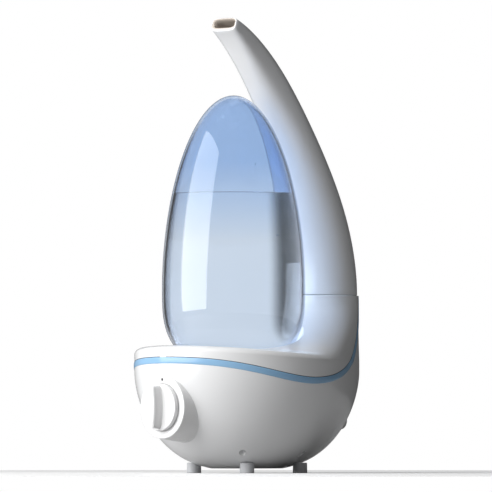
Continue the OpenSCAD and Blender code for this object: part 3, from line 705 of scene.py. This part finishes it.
# ---- finishes ----
class Wire:
    """A number or colour on its way through a finish. Arithmetic on it adds the nodes."""

    def __init__(self, finish, socket):
        self.finish = finish
        self.socket = socket

    def maths(self, operation, first, second):
        return self.finish.add("ShaderNodeMath", {"operation": operation}, {0: first, 1: second})

    def __add__(self, other):
        return self.maths("ADD", self, other)

    def __sub__(self, other):
        return self.maths("SUBTRACT", self, other)

    def __rsub__(self, other):
        return self.maths("SUBTRACT", other, self)

    def __mul__(self, other):
        return self.maths("MULTIPLY", self, other)

    __radd__ = __add__
    __rmul__ = __mul__


class Finish:
    """One material, built node by node."""

    def __init__(self, name):
        self.material = bpy.data.materials.new(name)
        self.material.use_nodes = True
        self.nodes = self.material.node_tree.nodes
        self.links = self.material.node_tree.links
        self.shader = self.nodes["Principled BSDF"]

    def add(self, kind, settings=None, inputs=None, output=0):
        node = self.nodes.new(kind)
        for key, value in (settings or {}).items():
            setattr(node, key, value)
        for key, value in (inputs or {}).items():
            self.give(node.inputs[key], value)
        return Wire(self, node.outputs[output])

    def give(self, socket, value):
        if isinstance(value, Wire):
            self.links.new(value.socket, socket)
        else:
            socket.default_value = value

    def set(self, **inputs):
        for key, value in inputs.items():
            self.give(self.shader.inputs[key.replace("_", " ")], value)
        return self

    def let_lamps_through(self, tint):
        """Lamps reach what stands behind this finish, tinted by it."""
        behind = self.nodes.new("ShaderNodeMixShader")
        clear = self.nodes.new("ShaderNodeBsdfTransparent")
        clear.inputs["Color"].default_value = tint
        self.links.new(self.add("ShaderNodeLightPath", output=1).socket, behind.inputs[0])
        self.links.new(self.shader.outputs[0], behind.inputs[1])
        self.links.new(clear.outputs[0], behind.inputs[2])
        self.links.new(behind.outputs[0], self.nodes["Material Output"].inputs["Surface"])

    def place(self):
        return self.add("ShaderNodeTexCoord", output=3)

    def noise(self, scale, detail=3, roughness=0.5):
        grain = {"Vector": self.place(), "Scale": scale, "Detail": detail, "Roughness": roughness}
        return self.add("ShaderNodeTexNoise", None, grain)

    def blend(self, factor, one, two):
        return self.add("ShaderNodeMix", {"data_type": "RGBA"}, {0: factor, 6: one, 7: two}, output=2)

    def bump(self, height, strength, depth):
        return self.add("ShaderNodeBump", None, {"Height": height, "Strength": strength, "Distance": depth})

    def height(self):
        return self.add("ShaderNodeSeparateXYZ", None, {"Vector": self.place()}, output=2)


def moulded(name, light, shade, roughness=0.2, grain=900, coat=0.35):
    """Glossy moulded plastic: faint cloudy tone, fine mould texture and a hard skin."""
    f = Finish(name)
    cloud = f.noise(9, 2)
    fine = f.noise(grain, 2)
    f.set(Base_Color=f.blend(cloud, light, shade), Roughness=fine * 0.08 + (roughness - 0.04), IOR=1.5)
    f.set(Coat_Weight=coat, Coat_Roughness=0.06, Coat_IOR=1.5)
    f.set(Normal=f.bump(fine, 0.05, 0.0002))
    return f.material


def rubber(name, light, shade):
    f = Finish(name)
    grain = f.noise(1500, 3)
    f.set(Base_Color=f.blend(grain, light, shade), Roughness=grain * 0.2 + 0.55)
    f.set(Normal=f.bump(grain, 0.2, 0.0002))
    return f.material


def metal(name, light, shade, roughness=0.3):
    f = Finish(name)
    streak = f.noise(400, 4)
    f.set(Base_Color=f.blend(streak, light, shade), Metallic=1.0, Roughness=streak * 0.15 + roughness)
    return f.material


def clear_blue():
    """Blue-tinted clear plastic, deeper at the crown and at its edges."""
    f = Finish("clear_blue_plastic")
    climb = {"Value": f.height(), "From Min": 0.2, "From Max": 0.27, "To Min": 0.0, "To Max": 1.0}
    rise = f.add("ShaderNodeMapRange", None, climb)
    tone = f.blend(rise, (0.80, 0.85, 0.91, 1), (0.56, 0.69, 0.88, 1))
    facing = f.add("ShaderNodeLayerWeight", None, {"Blend": 0.3}, output=1)
    edge = f.add("ShaderNodeMath", {"operation": "POWER"}, {0: facing, 1: 2.5})
    ripple = f.noise(60, 2)
    f.set(Base_Color=f.blend(edge, tone, (0.13, 0.21, 0.5, 1)), Roughness=ripple * 0.01 + 0.005)
    f.set(IOR=1.45, Transmission_Weight=1.0)
    f.set(Normal=f.bump(ripple, 0.02, 0.0005))
    f.let_lamps_through((0.90, 0.94, 1, 1))
    return f.material


def clear_water():
    f = Finish("tank_water")
    ripple = f.noise(40, 2)
    f.set(Base_Color=f.blend(ripple, (0.95, 0.97, 1.0, 1), (0.92, 0.96, 1.0, 1)), Roughness=ripple * 0.004)
    f.set(IOR=1.33, Transmission_Weight=1.0)
    f.let_lamps_through((0.97, 0.985, 1, 1))
    return f.material


def bubble_skin():
    f = Finish("bubble_skin")
    tone = f.noise(300, 2)
    f.set(Base_Color=f.blend(tone, (0.25, 0.33, 0.45, 1), (0.55, 0.65, 0.78, 1)), Roughness=tone * 0.1 + 0.1)
    f.set(IOR=1.3, Transmission_Weight=0.4)
    return f.material


def board():
    """Green circuit board with faint tracks under its lacquer."""
    f = Finish("circuit_board")
    greens = {"Color1": (0.02, 0.16, 0.07, 1), "Color2": (0.03, 0.22, 0.1, 1), "Mortar": (0.05, 0.3, 0.14, 1)}
    track = f.add("ShaderNodeTexBrick", None, {"Vector": f.place(), "Scale": 160.0, **greens})
    f.set(Base_Color=track, Roughness=f.noise(200, 2) * 0.2 + 0.3)
    return f.material


def wound(name):
    """Yellow tape wound round a core."""
    f = Finish(name)
    layers = {"Vector": f.place(), "Scale": 120.0, "Distortion": 0.4}
    turns = f.add("ShaderNodeTexWave", {"bands_direction": "Z"}, layers)
    f.set(Base_Color=f.blend(turns, (0.75, 0.55, 0.1, 1), (0.6, 0.42, 0.06, 1)))
    f.set(Roughness=f.noise(300, 2) * 0.2 + 0.4)
    return f.material


FINISHES = {
    "white_housing": moulded("white_housing", (0.84, 0.845, 0.85, 1), (0.80, 0.805, 0.815, 1)),
    "white_nozzle": moulded("white_nozzle", (0.85, 0.855, 0.865, 1), (0.81, 0.82, 0.835, 1), 0.16),
    "white_knob": moulded("white_knob", (0.86, 0.86, 0.86, 1), (0.82, 0.82, 0.825, 1), 0.26),
    "blue_trim": moulded("blue_trim", (0.30, 0.52, 0.76, 1), (0.25, 0.46, 0.70, 1), 0.2),
    "foot_rubber": rubber("foot_rubber", (0.62, 0.63, 0.65, 1), (0.52, 0.53, 0.55, 1)),
    # Seal rubber also colours the painted shadow strip along the trim's upper edge.
    "seal_rubber": rubber("seal_rubber", (0.05, 0.055, 0.065, 1), (0.03, 0.033, 0.04, 1)),
    "inner_plastic": moulded("inner_plastic", (0.74, 0.75, 0.77, 1), (0.68, 0.69, 0.71, 1), 0.4, coat=0.0),
    "black_plastic": moulded("black_plastic", (0.03, 0.03, 0.033, 1), (0.02, 0.02, 0.022, 1), 0.4, coat=0.0),
    "marker_black": moulded("marker_black", (0.02, 0.02, 0.022, 1), (0.012, 0.012, 0.014, 1), 0.35, coat=0.0),
    "screw_steel": metal("screw_steel", (0.6, 0.6, 0.62, 1), (0.5, 0.5, 0.52, 1)),
    "transducer_steel": metal("transducer_steel", (0.72, 0.72, 0.74, 1), (0.62, 0.62, 0.64, 1), 0.2),
    "brass": metal("brass", (0.75, 0.56, 0.24, 1), (0.65, 0.46, 0.18, 1)),
    "heat_sink_aluminium": metal("heat_sink_aluminium", (0.7, 0.71, 0.72, 1), (0.6, 0.61, 0.62, 1), 0.4),
    "circuit_board": board(),
    "transformer_tape": wound("transformer_tape"),
    "magnet_iron": metal("magnet_iron", (0.2, 0.2, 0.21, 1), (0.14, 0.14, 0.15, 1), 0.35),
    "blue_clear": clear_blue(),
}


def dress(piece, material):
    while len(piece.data.materials) > 1:
        piece.data.materials.pop()
    if piece.data.materials:
        piece.data.materials[0] = material
    else:
        piece.data.materials.append(material)


# The painted shadow strip along the trim reuses the dark seal rubber finish.
OUTSIDE = ((bowl, "white_housing"), (deck, "white_housing"), (shelf, "white_housing"), (band, "blue_trim"),
           (painted_shadow_line, "seal_rubber"), (nozzle, "white_nozzle"), (tank, "blue_clear"), (bezel, "white_knob"),
           (dial, "white_knob"))
for piece, finish in OUTSIDE:
    dress(piece, FINISHES[finish])
for foot in feet:
    dress(foot, FINISHES["foot_rubber"])
bore_finish = moulded("nozzle_bore", (0.62, 0.56, 0.50, 1), (0.55, 0.49, 0.43, 1), 0.3, coat=0.0)
nozzle.data.materials.append(bore_finish)
dress(water, clear_water())
dress(bubbles, bubble_skin())
slots = {part["node"]: part["material_slot"] for part in frame["record"]["subparts"]}
for node, piece in frame["nodes"].items():
    dress(piece, FINISHES[slots[node]])

# ---- floor, light and camera ----
let_go()
bpy.ops.mesh.primitive_circle_add(vertices=96, radius=0.75, fill_type="NGON", location=(0, 0, 0))
floor = named_last("studio_floor")
bpy.ops.object.transform_apply(location=True, rotation=True, scale=True)
f = Finish("studio_floor")
soft = f.noise(3, 2)
camera_sees = f.add("ShaderNodeLightPath", output=0)
pale = f.blend(soft, (0.95, 0.95, 0.95, 1), (0.92, 0.92, 0.92, 1))
f.set(Base_Color=f.blend(camera_sees, (0.5, 0.5, 0.5, 1), pale), Roughness=soft * 0.1 + 0.4)
f.set(Emission_Color=f.blend(camera_sees, (0, 0, 0, 1), (0.2, 0.2, 0.2, 1)), Emission_Strength=1.0)
dress(floor, f.material)

CAMERA_TURN = math.radians(45.35)
CAMERA_RISE = math.radians(-1.7)
CAMERA_FAR = 6.0
# Width that the camera takes in where the object stands, in metres
VIEW_WIDTH = 0.42708333
SHIFT_X = -0.00904472
SHIFT_Y = -0.00711382
AIM = Vector((0, 0, 0.2))
level = math.cos(CAMERA_RISE)
back = Vector((math.sin(CAMERA_TURN) * level, -math.cos(CAMERA_TURN) * level, math.sin(CAMERA_RISE)))
right = Vector((math.cos(CAMERA_TURN), math.sin(CAMERA_TURN), 0))


def soft_box(name, place, aim, width, height, power, tone=(1, 1, 1)):
    lamp = bpy.data.lights.new(name, "AREA")
    lamp.shape = "RECTANGLE"
    lamp.size = width
    lamp.size_y = height
    lamp.energy = power
    lamp.color = tone
    held = bpy.data.objects.new(name, lamp)
    bpy.context.scene.collection.objects.link(held)
    held.location = place
    held.rotation_mode = "QUATERNION"
    held.rotation_quaternion = (Vector(aim) - Vector(place)).to_track_quat("-Z", "Y")
    return held


key = soft_box("tall_softbox", back * 0.6 - right * 1.5 + Vector((0, 0, 0.75)), (0, 0, 0.22), 1.6, 1.7, 30)
front = soft_box("front_softbox", back * 1.35 - right * 1.1 + Vector((0, 0, 1.5)), (0, 0, 0.15), 0.9, 0.9, 20)
front.visible_glossy = False
front.visible_transmission = False

# The room is plain white where it is seen. It is dimmer to the right and below for what it lights, and
# shows through the tank as white with one dark upright panel at the far left.
world = bpy.data.worlds.new("studio")
bpy.context.scene.world = world
world.use_nodes = True
tree = world.node_tree
tree.nodes.clear()
PANEL_TURN = math.radians(36)
toward_light = (back * 0.3 - right * 0.9 + Vector((0, 0, 0.55))).normalized()
toward_panel = -back * math.cos(PANEL_TURN) - right * math.sin(PANEL_TURN)


def room(kind, **settings):
    node = tree.nodes.new(kind)
    for key, value in settings.items():
        setattr(node, key, value)
    return node


def room_ramp(direction, low_dot, high_dot, low_value, high_value):
    """Brightness that changes with how far a direction leans towards the given one."""
    lean = room("ShaderNodeVectorMath", operation="DOT_PRODUCT")
    lean.inputs[1].default_value = direction
    tree.links.new(where.outputs["Generated"], lean.inputs[0])
    ramp = room("ShaderNodeMapRange", interpolation_type="SMOOTHSTEP")
    ends = {"From Min": low_dot, "From Max": high_dot, "To Min": low_value, "To Max": high_value}
    for key, value in ends.items():
        ramp.inputs[key].default_value = value
    tree.links.new(lean.outputs["Value"], ramp.inputs["Value"])
    return ramp.outputs[0]


out = room("ShaderNodeOutputWorld")
where = room("ShaderNodeTexCoord")
rays = room("ShaderNodeLightPath")
shows = [room("ShaderNodeBackground") for _ in range(3)]
for show in shows:
    show.inputs["Color"].default_value = (1, 1, 1, 1)
tree.links.new(room_ramp(toward_light, -0.45, 0.95, 0.06, 0.42), shows[1].inputs["Strength"])
tree.links.new(room_ramp(toward_panel, 0.93, 0.985, 1.0, 0.03), shows[2].inputs["Strength"])
through, seen = room("ShaderNodeMixShader"), room("ShaderNodeMixShader")
MIXES = ((through, "Is Transmission Ray", shows[1], shows[2]), (seen, "Is Camera Ray", through, shows[0]))
for mixer, ray, first, second in MIXES:
    tree.links.new(rays.outputs[ray], mixer.inputs[0])
    tree.links.new(first.outputs[0], mixer.inputs[1])
    tree.links.new(second.outputs[0], mixer.inputs[2])
tree.links.new(seen.outputs[0], out.inputs[0])

eye = bpy.data.cameras.new("eye")
eye.sensor_width = 36
eye.lens = eye.sensor_width * CAMERA_FAR / VIEW_WIDTH
eye.clip_end = 50
camera = bpy.data.objects.new("eye", eye)
bpy.context.scene.collection.objects.link(camera)
camera.location = AIM + back * CAMERA_FAR
camera.rotation_mode = "QUATERNION"
camera.rotation_quaternion = (-back).to_track_quat("-Z", "Y")
eye.shift_x = SHIFT_X
eye.shift_y = SHIFT_Y
bpy.context.scene.camera = camera
bpy.context.scene.view_settings.view_transform = "Standard"
